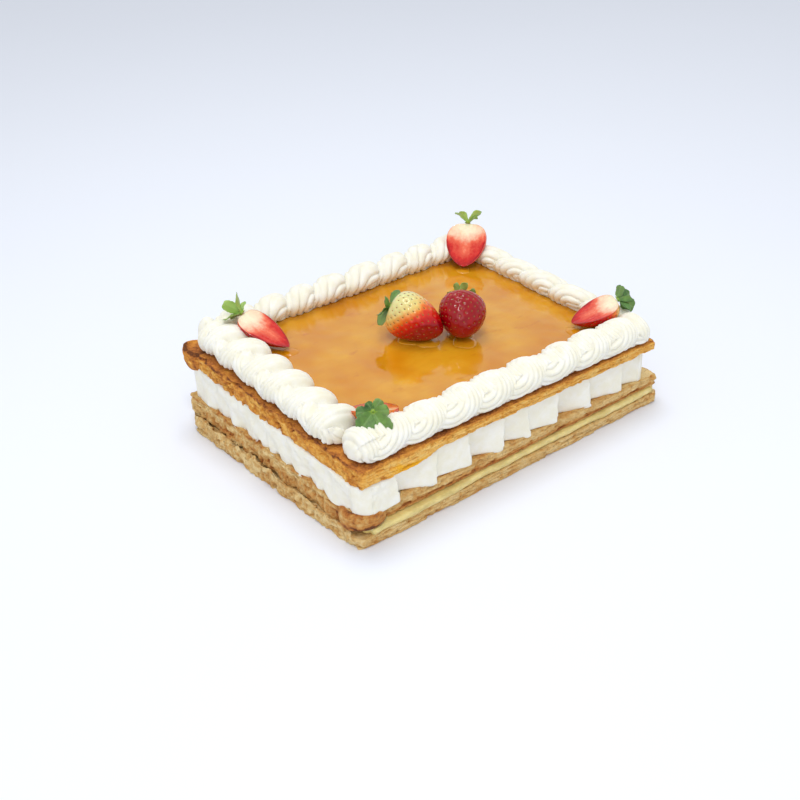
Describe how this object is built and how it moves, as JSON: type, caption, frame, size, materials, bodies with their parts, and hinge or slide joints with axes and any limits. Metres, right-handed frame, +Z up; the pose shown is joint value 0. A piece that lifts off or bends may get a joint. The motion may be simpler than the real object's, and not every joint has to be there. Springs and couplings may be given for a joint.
{
  "type": "mille feuille cake",
  "caption": "Rectangular layered puff pastry cake with custard, whipped cream, an amber glazed top, a piped cream border and strawberries, resting on its flat base.",
  "frame": {"origin": "centre of the cake's bounding box, at the flat underside of the bottom pastry sheet", "axes": "+X along the long side, +Y along the short side away from the front panels, +Z up"},
  "size_m": [0.2852, 0.2152, 0.1039],
  "materials": {
    "pale_pastry": "dry, flaky, pale baked puff pastry",
    "golden_pastry": "dry, flaky, golden brown puff pastry",
    "custard": "soft satin pastry cream",
    "whipped_cream": "soft matte whipped cream",
    "amber_glaze": "wet glossy jam glaze",
    "strawberry": "glossy fresh fruit",
    "leaf": "satin green leaf"
  },
  "bodies": {
    "root": {"pastry_base": "pale_pastry", "custard_layer": "custard", "pastry_middle": "golden_pastry", "cream_layer": "whipped_cream", "pastry_top": "golden_pastry", "glaze": "amber_glaze", "piped_border_front": "whipped_cream", "piped_border_back": "whipped_cream", "piped_border_left": "whipped_cream", "piped_border_right": "whipped_cream", "strawberry_centre_left": "strawberry", "calyx_centre_left": "leaf", "strawberry_centre_right": "strawberry", "calyx_centre_right": "leaf", "strawberry_half_front": "strawberry", "calyx_half_front": "leaf", "strawberry_half_right": "strawberry", "calyx_half_right": "leaf", "strawberry_half_back": "strawberry", "calyx_half_back": "leaf", "strawberry_half_left": "strawberry", "calyx_half_left": "leaf"}
  },
  "joints": []
}
